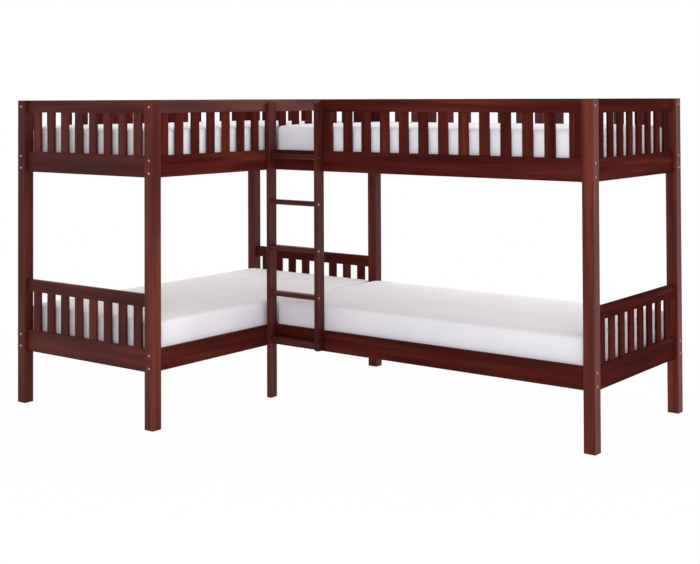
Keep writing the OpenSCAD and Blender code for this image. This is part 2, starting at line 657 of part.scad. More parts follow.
module arm_screws() for (y_side = [0, 1], z = [lower_rail_z, upper_rail_z]) {
    base_screw_places(y_side, z) wood_screw(screw_length);
    cleat_screw_places(y_side, z) wood_screw(screw_length);
}
module sunk_screw() translate([0, 0, screw_sink]) wood_screw(screw_length);

// ---- Corner brackets: an angle plate in the corner of a rail and what it meets ----
// The bracket's own frame: x along the rail, y away from the rail's inner face, z up from its underside
module front_bracket_place(z) translate([front_rail_start, rail_inner, z]) children();
module back_bracket_place(z)
    translate([rail_start, bunk_width - rail_inner, z]) mirror([0, 1, 0]) children();
module bracket_short_spots() for (s = bracket_short_screws)
    translate([bracket_thick, bracket_short_screw, s * bracket_height]) to_minus_x() children();
module bracket_long_spots() for (s = bracket_long_screws)
    translate([s * bracket_long, bracket_thick, bracket_height / 2]) to_minus_y() children();
module bracket_short_ways() bracket_short_spots() hole(screw_d, bracket_screw_length, hole_play);
module bracket_long_ways() bracket_long_spots() hole(screw_d, bracket_screw_length, hole_play);
module bracket() difference() {
    union() {
        cube([bracket_long, bracket_thick, bracket_height]);
        cube([bracket_thick, bracket_short, bracket_height]);
    }
    bracket_short_ways();
    bracket_long_ways();
}
module bracket_screw_pair() {
    bracket_short_spots() bracket_screw();
    bracket_long_spots() bracket_screw();
}
// A pan-headed screw: its head stands on the plate
module bracket_screw() {
    cylinder(d = screw_d, h = bracket_screw_length - screw_head_h / 2, $fn = hole_fn);
    translate([0, 0, -screw_head_h / 2])
        cylinder(d = screw_head_d * 0.8, h = screw_head_h / 2, $fn = hole_fn);
}
module each_bracket() right_arm() for (z = bracket_levels) {
    front_bracket_place(z) children();
    back_bracket_place(z) children();
}
module corner_brackets() zinc() each_bracket() bracket();
module bracket_screws() zinc() each_bracket() bracket_screw_pair();

// ---- Mattresses ----
// An outline with round corners: half sizes hx and hy, four corner radii r, q points to a corner
outline_q = 6;
function corner_points(cx, cy, r, from) =
    [for (i = [0 : outline_q - 1])
        let (a = from + 90 * i / (outline_q - 1)) [cx + r * cos(a), cy + r * sin(a)]];
function side_points(p, q, n) = [for (i = [1 : n]) p + (q - p) * i / (n + 1)];
function outline(hx, hy, r) =
    let (
        c = [
            corner_points(hx - r[0], hy - r[0], r[0], 0), corner_points(r[1] - hx, hy - r[1], r[1], 90),
            corner_points(r[2] - hx, r[2] - hy, r[2], 180), corner_points(hx - r[3], r[3] - hy, r[3], 270)
        ],
        n = [6, 4, 6, 4]
    )
    [for (k = [0 : 3]) for (p = concat(c[k], side_points(c[k][outline_q - 1], c[(k + 1) % 4][0], n[k]))) p];
// The section from the underside's edge to the middle of the top, as [inset, height]
arc_steps = 4;
crown_steps = 7;
crown_stop = 30;
least_corner = 12;
function arc(cx, cz, r, from) =
    [for (i = [0 : arc_steps]) let (a = from + 90 * i / arc_steps) [cx - r * cos(a), cz + r * sin(a)]];
mattress_section = concat(
    arc(mattress_round, mattress_round, mattress_round, -90),
    [[mattress_draw, mattress_edge / 2]],
    arc(mattress_round, mattress_edge - mattress_round, mattress_round, 0),
    [for (i = [1 : crown_steps]) let (s = i / crown_steps) [
        mattress_round + s * (mattress_width / 2 - mattress_round - crown_stop),
        mattress_edge + mattress_crown * sin(90 * s)
    ]]
);
// back_left: the radius of the corner that lies at the arm's near end and far side
module mattress(back_left) {
    corners = [mattress_corner, back_left, mattress_corner, mattress_corner];
    rings = [for (s = mattress_section)
        let (o = outline(
            mattress_length / 2 - s[0], mattress_width / 2 - s[0],
            [for (r = corners) max(r - s[0], least_corner)]
        ))
        [for (p = o) [p[0], p[1], s[1]]]];
    n = len(rings[0]);
    last = len(rings) - 1;
    points = concat([for (r = rings) each r], [[0, 0, 0]], [[0, 0, mattress_edge + mattress_crown]]);
    under = n * len(rings);
    faces = concat(
        [for (k = [0 : last - 1], i = [0 : n - 1]) let (j = (i + 1) % n)
            each [[k * n + i, (k + 1) * n + i, (k + 1) * n + j], [k * n + i, (k + 1) * n + j, k * n + j]]],
        [for (i = [0 : n - 1]) [under, i, (i + 1) % n]],
        [for (i = [0 : n - 1]) [under + 1, last * n + (i + 1) % n, last * n + i]]
    );
    translate([mattress_length / 2, mattress_width / 2, 0]) polyhedron(points, faces);
}
module mattress_at(start, z, back_left) ticking()
    translate([start, rail_inner + mattress_side_gap, z + base_top + soft_play]) mattress(back_left);
module left_mattress(z) left_arm() mattress_at(left_mattress_start, z, mattress_corner);
module right_mattress(z) right_arm() mattress_at(right_mattress_start, z, pressed_corner);
module left_lower_mattress() left_mattress(lower_rail_z);
module left_upper_mattress() left_mattress(upper_rail_z);
module right_lower_mattress() right_mattress(lower_rail_z);
module right_upper_mattress() right_mattress(upper_rail_z);

left_front_outer_post();
left_front_inner_post();
left_back_outer_post();
corner_post();
right_front_post();
right_back_post();
left_outer_lower_rail();
left_inner_lower_rail();
left_outer_upper_rail();
left_inner_upper_rail();
right_front_lower_rail();
right_back_lower_rail();
right_front_upper_rail();
right_back_upper_rail();
left_arm_cleats();
right_arm_cleats();
left_front_lower_top_rail();
left_front_lower_board();
left_front_lower_slats();
left_front_upper_top_rail();
left_front_upper_board();
left_front_upper_slats();
left_back_lower_top_rail();
left_back_lower_board();
left_back_lower_slats();
left_back_upper_top_rail();
left_back_upper_board();
left_back_upper_slats();
right_end_lower_top_rail();
right_end_lower_board();
right_end_lower_slats();
right_end_upper_top_rail();
right_end_upper_board();
right_end_upper_slats();
left_outer_guard_rail();
left_outer_guard_slats();
left_inner_guard_rail();
left_inner_guard_slats();
right_front_guard_rail();
right_front_guard_slats();
right_back_guard_rail();
right_back_guard_slats();
ladder_leg();
ladder_side();
ladder_rungs();
left_lower_base_slats();
left_upper_base_slats();
right_lower_base_slats();
right_upper_base_slats();
left_lower_mattress();
left_upper_mattress();
right_lower_mattress();
right_upper_mattress();
rail_bolts();
rung_bolts();
barrel_nuts();
dowels();
wood_screws();
bracket_screws();
corner_brackets();
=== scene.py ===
# %% [markdown]
# # A corner bunk bed in dark stained wood
# Two bunks meet in an L at one shared post. Six square posts, side rails, slatted end panels and
# slatted guards are solid wood under a reddish-brown stain and a satin lacquer. A ladder stands in
# the inner corner, and four plain white mattresses lie on slatted bases. The construction comes
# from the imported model, in metres, and this lesson gives it its looks: camera, light, wood, steel
# and cloth.

import bpy
import bmesh
import math
from mathutils import Matrix, Vector
from mathutils.bvhtree import BVHTree


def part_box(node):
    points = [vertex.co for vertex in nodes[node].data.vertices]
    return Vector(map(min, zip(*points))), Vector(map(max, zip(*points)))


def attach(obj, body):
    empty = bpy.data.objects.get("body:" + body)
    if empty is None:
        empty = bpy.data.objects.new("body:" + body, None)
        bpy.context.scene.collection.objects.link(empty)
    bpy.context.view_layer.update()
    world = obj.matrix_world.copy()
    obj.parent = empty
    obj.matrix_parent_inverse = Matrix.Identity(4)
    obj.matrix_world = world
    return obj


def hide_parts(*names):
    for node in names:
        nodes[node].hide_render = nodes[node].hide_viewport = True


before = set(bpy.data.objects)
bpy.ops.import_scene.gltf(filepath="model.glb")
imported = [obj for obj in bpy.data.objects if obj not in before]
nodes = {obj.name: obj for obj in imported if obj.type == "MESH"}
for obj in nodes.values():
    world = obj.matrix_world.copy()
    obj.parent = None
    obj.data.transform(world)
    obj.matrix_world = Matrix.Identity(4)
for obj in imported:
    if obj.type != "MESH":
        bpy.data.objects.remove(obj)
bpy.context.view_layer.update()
scene = bpy.context.scene

# %% [markdown]
# ## The camera
# The photograph looks at the bed's inner corner from a standing person's height, a good seven
# metres away. A lens is fixed by its focal length in pixels. The upright lines stay upright in the
# picture, so the camera is almost level, and the picture is shifted down instead of tilting the
# camera.

# %% Camera
PHOTO_WIDTH, PHOTO_HEIGHT = 700, 564
FOCAL_PX = 1276.6
MIDDLE_PX = (307.7, 75.2)
SENSOR_MM = 36
FARTHEST_SEEN = 120
camera_at = Vector((4.2392, -5.6988, 1.7114))
yaw, pitch, roll = (math.radians(a) for a in (38.2, 1.0, -0.2))

ahead = Vector((
    -math.sin(yaw) * math.cos(pitch), math.cos(yaw) * math.cos(pitch), math.sin(pitch),
))
level = Vector((math.cos(yaw), math.sin(yaw), 0))
upward = level.cross(ahead)
right = math.cos(roll) * level + math.sin(roll) * upward
upward = math.cos(roll) * upward - math.sin(roll) * level

lens = bpy.data.cameras.new("photo_camera")
lens.sensor_fit = "HORIZONTAL"
lens.sensor_width = SENSOR_MM
lens.lens = FOCAL_PX / PHOTO_WIDTH * SENSOR_MM
lens.shift_x = (PHOTO_WIDTH / 2 - MIDDLE_PX[0]) / PHOTO_WIDTH
lens.shift_y = (MIDDLE_PX[1] - PHOTO_HEIGHT / 2) / PHOTO_WIDTH
lens.clip_end = FARTHEST_SEEN
camera = bpy.data.objects.new("photo_camera", lens)
scene.collection.objects.link(camera)
turn_to_scene = Matrix((right, upward, -ahead)).transposed().to_4x4()
camera.matrix_world = Matrix.Translation(camera_at) @ turn_to_scene
scene.camera = camera
print("lens", round(lens.lens, 1), "mm, shift", round(lens.shift_x, 3), round(lens.shift_y, 3))

# %% [markdown]
# ## Small helpers
# Colours are picked as sRGB hex values, but shaders mix light in linear numbers, so one function
# turns one into the other. Others set or link a node's inputs, add a node with its settings, and
# give a colour ramp its stops.

# %% Helpers
def linear(hex_colour):
    """An sRGB hex value as linear red, green, blue and an alpha of 1."""
    parts = [int(hex_colour[i : i + 2], 16) / 255 for i in (1, 3, 5)]
    return [c / 12.92 if c <= 0.04045 else ((c + 0.055) / 1.055) ** 2.4 for c in parts] + [1]


def feed(tree, node, inputs):
    """Sets a node's inputs; each is a value, or an output socket to link."""
    for name, value in inputs.items():
        socket = node.inputs[name]
        if isinstance(value, bpy.types.NodeSocket):
            tree.links.new(value, socket)
        else:
            socket.default_value = value


def add(tree, kind, inputs=None, **settings):
    """A node with its settings and its inputs."""
    made = tree.nodes.new(kind)
    for name, value in settings.items():
        setattr(made, name, value)
    feed(tree, made, inputs or {})
    return made


def coloured(ramp, stops):
    """The colour of a ramp that is given its stops, each a place and a colour."""
    elements = ramp.color_ramp.elements
    while len(elements) < len(stops):
        elements.new(0.5)
    for element, (place, colour) in zip(elements, stops):
        element.position = place
        element.color = linear(colour)
    return ramp.outputs["Color"]


def blank_material(name):
    """A material with nothing but its shader, its node tree and the shader itself."""
    material = bpy.data.materials.new(name)
    material.use_nodes = True
    tree = material.node_tree
    tree.nodes.clear()
    shader = add(tree, "ShaderNodeBsdfPrincipled")
    add(tree, "ShaderNodeOutputMaterial", {"Surface": shader.outputs["BSDF"]})
    return material, tree, shader


print("helpers ready")

# %% [markdown]
# ## Floor and light
# The bed stands in a white studio. The floor is a plain white plane. Most of what the camera sees
# of it is its own brightness, mixed with a little true shading, so that the posts keep a faint
# shadow. One wide, soft lamp stands beside the camera, and lights what the camera sees between the
# slats. A white surround, brighter towards the back and lower overhead, fills the shadows and
# lights the tops of the lower mattresses.

# %% Floor
WHITE = (1, 1, 1, 1)
FLOOR_REACH = 50
# How much of what is seen of the floor is its own brightness.
GLOW_SHARE = 0.97


def seen_plainly(tree):
    """1 for a ray from the camera, off a shiny surface or through glass, and 0 for any other."""
    path = add(tree, "ShaderNodeLightPath").outputs
    seen = path["Is Camera Ray"]
    for kind in ("Is Glossy Ray", "Is Transmission Ray"):
        seen = add(tree, "ShaderNodeMath", {0: seen, 1: path[kind]}, operation="MAXIMUM").outputs[0]
    return seen


corners = [(x * FLOOR_REACH, y * FLOOR_REACH, 0) for x, y in ((-1, -1), (1, -1), (1, 1), (-1, 1))]
floor_mesh = bpy.data.meshes.new("studio_floor")
floor_mesh.from_pydata(corners, [], [(0, 1, 2, 3)])
floor = bpy.data.objects.new("studio_floor", floor_mesh)
scene.collection.objects.link(floor)

floor_paint = bpy.data.materials.new("studio_white")
floor_paint.use_nodes = True
paint = floor_paint.node_tree
paint.nodes.clear()
share = add(paint, "ShaderNodeMath", {0: seen_plainly(paint), 1: GLOW_SHARE}, operation="MULTIPLY")
matt = add(paint, "ShaderNodeBsdfDiffuse", {"Color": linear("#fafafa")})
glow = add(paint, "ShaderNodeEmission", {"Color": WHITE, "Strength": 1.0})
mixed = add(paint, "ShaderNodeMixShader", {
    0: share.outputs[0], 1: matt.outputs[0], 2: glow.outputs[0],
})
add(paint, "ShaderNodeOutputMaterial", {"Surface": mixed.outputs[0]})
floor_mesh.materials.append(floor_paint)
print("floor", 2 * FLOOR_REACH, "m wide")

# %% Light
# The surround's strength at the horizon and overhead, and its share in front of and behind the bed.
HORIZON_FILL, OVERHEAD_FILL, OVERHEAD_Z = 1.0, 0.7, 0.9
FRONT_FILL, BACK_FILL = 0.25, 2.35

world = bpy.data.worlds.new("white_surround")
scene.world = world
world.use_nodes = True
sky = world.node_tree
sky.nodes.clear()
seen = seen_plainly(sky)
ray = add(sky, "ShaderNodeTexCoord")
way = add(sky, "ShaderNodeSeparateXYZ", {"Vector": ray.outputs["Generated"]})
by_height = add(sky, "ShaderNodeMapRange", {
    "Value": way.outputs["Z"], "From Min": 0.0, "From Max": OVERHEAD_Z,
    "To Min": HORIZON_FILL, "To Max": OVERHEAD_FILL,
})
by_depth = add(sky, "ShaderNodeMapRange", {
    "Value": way.outputs["Y"], "From Min": -1.0, "From Max": 1.0,
    "To Min": FRONT_FILL, "To Max": BACK_FILL,
})
strength = add(sky, "ShaderNodeMath", {
    0: by_height.outputs[0], 1: by_depth.outputs[0],
}, operation="MULTIPLY")
fill = add(sky, "ShaderNodeBackground", {"Color": WHITE, "Strength": strength.outputs[0]})
plain = add(sky, "ShaderNodeBackground", {"Color": WHITE, "Strength": 1.0})
mixed = add(sky, "ShaderNodeMixShader", {0: seen, 1: fill.outputs[0], 2: plain.outputs[0]})
add(sky, "ShaderNodeOutputWorld", {"Surface": mixed.outputs[0]})


def soft_lamp(name, place, target, size, watts):
    """Sets up a square area lamp that faces its target."""
    lamp = bpy.data.lights.new(name, "AREA")
    lamp.shape = "SQUARE"
    lamp.size = size
    lamp.energy = watts
    made = bpy.data.objects.new(name, lamp)
    scene.collection.objects.link(made)
    made.location = place
    made.rotation_euler = (Vector(target) - Vector(place)).to_track_quat("-Z", "Y").to_euler()


soft_lamp("front_softbox", place=(3.8, -6.3, 2.1), target=(0, 0, 0.8), size=2.0, watts=145)
scene.view_settings.view_transform = "Standard"
print("surround and lamp ready")

# %% [markdown]
# ## Stained wood
# The posts, rails, panels, guards and ladder are planed softwood under a cherry-brown pigment stain
# and a satin lacquer. The stain gathers in the soft early wood, so each board shows long streaks,
# from almost black-brown to a warm red. Boards of one kind share one recipe, and the ladder and two
# guards shine more. Light and shade are also painted into the stain by part: the posts nearest the
# room are painted paler, as painted light, and the right end is painted darker, as painted shade.
# The streaks follow the grain, so each recipe is made for boards that run along X, Y and Z. The
# pattern is solid: it reads Object coordinates in metres, is stretched along the grain, and runs
# through the board as real grain does. End grain drinks more stain and is darker. The lacquer gives
# a soft gloss above the fibres.

# %% Stained wood recipe
# The widths of the board's own patches, the streaks and the fibres, and how much each is
# stretched along the grain.
BOARD_MM, STREAK_MM, FIBRE_MM = 95.0, 30.0, 4.0
BOARD_STRETCH, GRAIN_STRETCH = 0.12, 0.035

# How much the fibres, the board's patches and its tone weigh, where the streaks weigh 1, and the
# sums that take the darkest and the palest stain.
FIBRE_WEIGHT, BOARD_WEIGHT, TONE_WEIGHT = 0.25, 0.8, 0.12
DARKEST_SUM, PALEST_SUM = 0.695, 1.355
STAIN = [
    (0.0, "#35110e"), (0.30, "#441714"), (0.55, "#4f1d18"), (0.78, "#5b251d"), (1.0, "#6d2f22"),
]
END_GRAIN, END_GRAIN_SHARE = "#2a100c", 0.55

# How much painted light or painted shade each kind of stain is given, 0 in the middle, and how
# strongly its lacquer shines. The palest kind is painted light on the posts nearest the room, the
# darkest is painted shade on the right end, and the slight steps of the rails and glossy guards are
# painted light and shade too.
LACQUER_AND_PAINTED_LIGHT = {
    "painted_light": (0.18, 0.10), "plain": (0.0, 0.10), "glossy": (0.02, 0.30), "ladder": (0.0, 0.14),
    "rail": (-0.02, 0.01), "painted_shade": (-0.14, 0.0),
}
WOOD_IOR = 1.5


def grain(tree, place, along, size_mm, stretch=GRAIN_STRETCH, **noise):
    """Noise that is this wide in millimetres, drawn out along one axis."""
    scale = [1000 / size_mm * (stretch if axis == along else 1) for axis in "xyz"]
    spot = add(tree, "ShaderNodeMapping", {"Vector": place, "Scale": scale})
    inputs = {"Vector": spot.outputs[0], "Scale": 1.0, **noise}
    return add(tree, "ShaderNodeTexNoise", inputs).outputs["Fac"]


def stained_wood(along, lacquer_and_light):
    """Stain over boards that run along one axis, with the shine of its lacquer and the painted light
    and shade that it is given.
    """
    shade, shine = LACQUER_AND_PAINTED_LIGHT[lacquer_and_light]
    material, tree, shader = blank_material("stained_pine_%s_%s" % (lacquer_and_light, along))
    place = add(tree, "ShaderNodeTexCoord").outputs
    spot = place["Object"]
    streaks = grain(tree, spot, along, STREAK_MM, Detail=5.0, Roughness=0.62, Distortion=0.35)
    fibres = grain(tree, spot, along, FIBRE_MM, Detail=3.0, Roughness=0.7)
    patches = grain(tree, spot, along, BOARD_MM, BOARD_STRETCH, Detail=1.0)
    tone = add(tree, "ShaderNodeAttribute", attribute_name="tone").outputs["Fac"]

    # Everything adds up to one number, which picks the stain: the higher, the paler.
    level = streaks
    weights = ((fibres, FIBRE_WEIGHT), (patches, BOARD_WEIGHT), (tone, TONE_WEIGHT))
    for layer, weight in weights:
        inputs = {0: layer, 1: weight, 2: level}
        level = add(tree, "ShaderNodeMath", inputs, operation="MULTIPLY_ADD").outputs[0]
    # The shade moves the whole stain paler or darker: painted light and painted shade.
    level = add(tree, "ShaderNodeMapRange", {
        "Value": level, "From Min": DARKEST_SUM - shade, "From Max": PALEST_SUM - shade,
    })
    stain = coloured(add(tree, "ShaderNodeValToRGB", {"Fac": level.outputs[0]}), STAIN)

    # End grain faces look along the grain, and are darker.
    facing = add(tree, "ShaderNodeSeparateXYZ", {"Vector": place["Normal"]})
    end_on = add(tree, "ShaderNodeMath", {
        0: facing.outputs["xyz".index(along)],
    }, operation="ABSOLUTE")
    end_on = add(tree, "ShaderNodeMapRange", {
        "Value": end_on.outputs[0], "From Min": 0.75, "From Max": 0.95, "To Max": END_GRAIN_SHARE,
    })
    colour = add(tree, "ShaderNodeMix", {
        0: end_on.outputs[0], 6: stain, 7: linear(END_GRAIN),
    }, data_type="RGBA")

    # The fibres lift the lacquer a little, and leave its gloss uneven.
    gloss = add(tree, "ShaderNodeMapRange", {"Value": fibres, "To Min": 0.34, "To Max": 0.50})
    relief = add(tree, "ShaderNodeBump", {"Height": fibres, "Strength": 0.16, "Distance": 0.0006})
    feed(tree, shader, {
        "Base Color": colour.outputs[2], "Roughness": gloss.outputs[0],
        "Normal": relief.outputs[0], "IOR": WOOD_IOR, "Specular IOR Level": shine,
        "Coat Weight": 0.02, "Coat Roughness": 0.25,
    })
    return material


stains = {(axis, lacquer_and_light): stained_wood(axis, lacquer_and_light) for axis in "xyz" for lacquer_and_light in LACQUER_AND_PAINTED_LIGHT}
print("stained wood recipes", len(stains))

# %% [markdown]
# ## Plain wood
# The cleats, base slats and dowels under the mattresses are bare planed pine. It is pale yellow
# with warm late-wood lines a few millimetres apart, and has no lacquer, so it stays dull.

# %% Plain wood recipe
RING_MM = 9.0
PINE = [(0.25, "#c6a578"), (0.45, "#dcc39b"), (0.75, "#e9d8b8")]


def bare_pine(along):
    """Unfinished pine whose grain runs along one axis."""
    material, tree, shader = blank_material("bare_pine_" + along)
    spot = add(tree, "ShaderNodeTexCoord").outputs["Object"]
    lines = grain(tree, spot, along, RING_MM, Detail=4.0, Roughness=0.6, Distortion=0.8)
    dull = add(tree, "ShaderNodeMapRange", {"Value": lines, "To Min": 0.55, "To Max": 0.75})
    relief = add(tree, "ShaderNodeBump", {"Height": lines, "Strength": 0.2, "Distance": 0.0005})
    feed(tree, shader, {
        "Base Color": coloured(add(tree, "ShaderNodeValToRGB", {"Fac": lines}), PINE),
        "Roughness": dull.outputs[0], "Normal": relief.outputs[0], "IOR": WOOD_IOR,
    })
    return material


pine_along = {axis: bare_pine(axis) for axis in "xyz"}
print("bare pine for", sorted(pine_along))

# %% [markdown]
# ## Zinc-plated steel
# Bolts, nuts, screws and brackets are mild steel with a bright zinc plate. The plate is a soft
# mirror with a slightly cloudy, spangled roughness.

# %% Steel recipe
# The spangles are a little over a millimetre wide.
SPANGLE_MM = 10 / 7
ZINC = [(0.3, "#a39894"), (0.7, "#c4b9b3")]


def zinc_plate():
    """Steel under a bright zinc plate."""
    material, tree, shader = blank_material("zinc_plated_steel")
    cloud = add(tree, "ShaderNodeTexNoise", {
        "Vector": add(tree, "ShaderNodeTexCoord").outputs["Object"],
        "Scale": 1000 / SPANGLE_MM, "Detail": 2.0,
    }).outputs["Fac"]
    dull = add(tree, "ShaderNodeMapRange", {"Value": cloud, "To Min": 0.24, "To Max": 0.42})
    relief = add(tree, "ShaderNodeBump", {"Height": cloud, "Strength": 0.08, "Distance": 0.0002})
    feed(tree, shader, {
        "Base Color": coloured(add(tree, "ShaderNodeValToRGB", {"Fac": cloud}), ZINC),
        "Roughness": dull.outputs[0], "Normal": relief.outputs[0], "Metallic": 1.0,
    })
    return material


steel = zinc_plate()
print("steel ready")

# %% [markdown]
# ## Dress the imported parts
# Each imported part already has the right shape, so it only gets a finish. The grain runs along each
# board: up the posts and ladder sides, along the left arm (Y) or the right arm (X) in the rails,
# and across each arm in its end panels and base slats.

# %% Finish of each part
STEEL_PARTS = (
    "rail_bolts", "rung_bolts", "barrel_nuts", "wood_screws", "bracket_screws", "corner_brackets",
)


def grain_of(name):
    """The axis that a part's grain follows, worked out from its name."""
    upright = name.endswith("post") or name in ("ladder_leg", "ladder_side")
    if upright or (name.endswith("_slats") and "base" not in name):
        return "z"
    if name in ("ladder_rungs", "dowels"):
        return "x"
    if name.startswith("left"):
        across = any(word in name for word in ("_front_", "_back_", "base_slats"))
        return "x" if across else "y"
    return "y" if name.startswith("right_end") or "base_slats" in name else "x"


def lacquer_and_light_of(name):
    """The lacquer shine and the painted light and shade that a part's stain gets, worked out from its
    name.
    """
    if name.startswith("ladder"):
        return "ladder"
    if name.startswith("right_back_guard") or name == "left_inner_guard_rail":
        return "glossy"
    # The posts nearest the room get painted light, as a paler stain.
    if name in ("left_front_inner_post", "right_front_post", "right_back_post"):
        return "painted_light"
    if name.endswith("post") or name.startswith("left_front"):
        return "plain"
    # The right end gets painted shade, as a darker stain.
    return "painted_shade" if name.startswith("right_end") else "rail"


def dress(piece, material):
    """Gives a piece one material in place of any that it has."""
    piece.data.materials.clear()
    piece.data.materials.append(material)


for name, part in nodes.items():
    if name in STEEL_PARTS:
        dress(part, steel)
    elif name == "dowels" or "cleats" in name or "base_slats" in name:
        dress(part, pine_along[grain_of(name)])
    elif "mattress" not in name:
        dress(part, stains[grain_of(name), lacquer_and_light_of(name)])
print("dressed", len(nodes), "parts")

# %% [markdown]
# ## Upright slats
# The end panels and guards are ladders of upright slats between two rails. A row of equal boards at
# one pitch is a job for Geometry Nodes: a line of points, one board on each, and a random tone
# stored on each board so that the stain takes it a little lighter or darker, as it does in separate
# boards. The guards also have a wider stile at each end. A Bevel modifier then eases the long
# edges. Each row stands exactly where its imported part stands, and replaces it in the picture.

# %% Slat tree
def tree_inputs(tree, kinds):
    """Gives a node tree its inputs, and returns each one's identifier by its name."""
    return {
        name: tree.interface.new_socket(
            name=name, in_out="INPUT", socket_type="NodeSocket" + kind
        ).identifier
        for name, kind in kinds.items()
    }


def slat_tree():
    """Two rows of boards, slats and stiles, each with its first place, step, size and number."""
    tree = bpy.data.node_groups.new("upright_boards", "GeometryNodeTree")
    row_kinds = {"first": "Vector", "step": "Vector", "size": "Vector", "number": "Int"}
    rows = ("Slat", "Stile")
    kinds = {row + " " + word: kind for row in rows for word, kind in row_kinds.items()}
    keys = tree_inputs(tree, {**kinds, "Seed": "Int", "Finish": "Material"})
    tree.interface.new_socket(name="Boards", in_out="OUTPUT", socket_type="NodeSocketGeometry")
    given = add(tree, "NodeGroupInput").outputs
    join = add(tree, "GeometryNodeJoinGeometry")
    for row in rows:
        line = add(tree, "GeometryNodeMeshLine", {
            "Count": given[row + " number"], "Start Location": given[row + " first"],
            "Offset": given[row + " step"],
        })
        board = add(tree, "GeometryNodeMeshCube", {"Size": given[row + " size"]})
        stand = add(tree, "GeometryNodeInstanceOnPoints", {
            "Points": line.outputs["Mesh"], "Instance": board.outputs["Mesh"],
        })
        chance = add(tree, "FunctionNodeRandomValue", {
            2: -0.5, 3: 0.5, "Seed": given["Seed"],
        }, data_type="FLOAT")
        toned = add(tree, "GeometryNodeStoreNamedAttribute", {
            "Geometry": stand.outputs[0], "Name": "tone", "Value": chance.outputs[1],
        }, data_type="FLOAT", domain="INSTANCE")
        feed(tree, join, {0: toned.outputs[0]})
    real = add(tree, "GeometryNodeRealizeInstances", {"Geometry": join.outputs[0]})
    painted = add(tree, "GeometryNodeSetMaterial", {
        "Geometry": real.outputs[0], "Material": given["Finish"],
    })
    add(tree, "NodeGroupOutput", {"Boards": painted.outputs[0]})
    return tree, keys


slat_nodes, slat_keys = slat_tree()
print("slat tree with", len(slat_keys), "inputs")

# %% Slat rows
SLAT_WIDTH, STILE_WIDTH = 0.058, 0.076
PANEL_SLATS, LONG_GUARD_SLATS, SHORT_GUARD_SLATS = 8, 14, 11
GUARD_PITCH = 0.1235
GUARD_STILES = 2
EASED_EDGE = 0.002
PANEL_SEED, GUARD_SEED = 1, 40


def ruled(name, mesh, tree, keys, values):
    """An object whose shape comes from a node tree with these values for its inputs."""
    made = bpy.data.objects.new(name + "_work", mesh)
    scene.collection.objects.link(made)
    rule = made.modifiers.new("rule", "NODES")
    rule.node_group = tree
    for key, value in values.items():
        rule[keys[key]] = tuple(value) if isinstance(value, Vector) else value
    return made


def settled(made, name):
    """The evaluated object as a plain mesh object at the origin; the worked object is removed."""
    graph = bpy.context.evaluated_depsgraph_get()
    mesh = bpy.data.meshes.new_from_object(
        made.evaluated_get(graph), preserve_all_data_layers=True, depsgraph=graph
    )
    old = made.data
    bpy.data.objects.remove(made)
    bpy.data.meshes.remove(old)
    mesh.name = name
    piece = bpy.data.objects.new(name, mesh)
    scene.collection.objects.link(piece)
    return piece


def boards_for(node, slats, pitch, stiles, seed):
    """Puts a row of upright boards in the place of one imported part."""
    low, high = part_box(node)
    size = high - low
    run = 0 if size.x > size.y else 1
    middle = (low + high) / 2
    slat = Vector(size)
    slat[run] = SLAT_WIDTH
    stile = Vector(size)
    stile[run] = STILE_WIDTH
    slat_step = Vector((0, 0, 0))
    slat_step[run] = pitch
    stile_step = Vector((0, 0, 0))
    stile_step[run] = size[run] - STILE_WIDTH
    made = ruled(node, bpy.data.meshes.new(node + "_work"), slat_nodes, slat_keys, {
        "Slat first": middle - slat_step * (slats - 1) / 2, "Slat step": slat_step,
        "Slat size": slat, "Slat number": slats,
        "Stile first": middle - stile_step / 2, "Stile step": stile_step,
        "Stile size": stile, "Stile number": stiles,
        "Seed": seed, "Finish": stains["z", lacquer_and_light_of(node)],
    })
    ease = made.modifiers.new("ease", "BEVEL")
    ease.width = EASED_EDGE
    ease.segments = 2
    piece = settled(made, node + "_boards")
    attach(piece, "frame")
    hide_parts(node)


panel_rows = [name for name in nodes if name.endswith(("_lower_slats", "_upper_slats"))]
for seed, name in enumerate(panel_rows, PANEL_SEED):
    low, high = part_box(name)
    span = max(high.x - low.x, high.y - low.y)
    boards_for(name, PANEL_SLATS, (span - SLAT_WIDTH) / (PANEL_SLATS - 1), 0, seed)
guard_rows = [name for name in nodes if name.endswith("_guard_slats")]
for seed, name in enumerate(guard_rows, GUARD_SEED):
    count = SHORT_GUARD_SLATS if name == "right_front_guard_slats" else LONG_GUARD_SLATS
    boards_for(name, count, GUARD_PITCH, GUARD_STILES, seed)
print("rows of slats:", len(panel_rows), "in panels,", len(guard_rows), "in guards")

# %% [markdown]
# ## Mattress cover cloth
# The mattresses are foam blocks in a plain white woven polyester-cotton cover. The cloth is matt
# with a faint sheen. Its threads are about 0.5 mm apart, and one pixel of this view covers about
# 5 mm, so the weave is drawn as coarse as it needs to show, at 19 mm. Long, shallow waves lie where
# the cover is not quite tight.

# %% Cover cloth recipe
WEAVE_MM, WAVE_MM = 18.85, 240.0
# A wave texture of scale 1 has this many waves in a metre.
WAVES_AT_SCALE_1 = 20 / (2 * math.pi)
COTTON = [(0.3, "#efedf4"), (0.7, "#f5f3f9")]


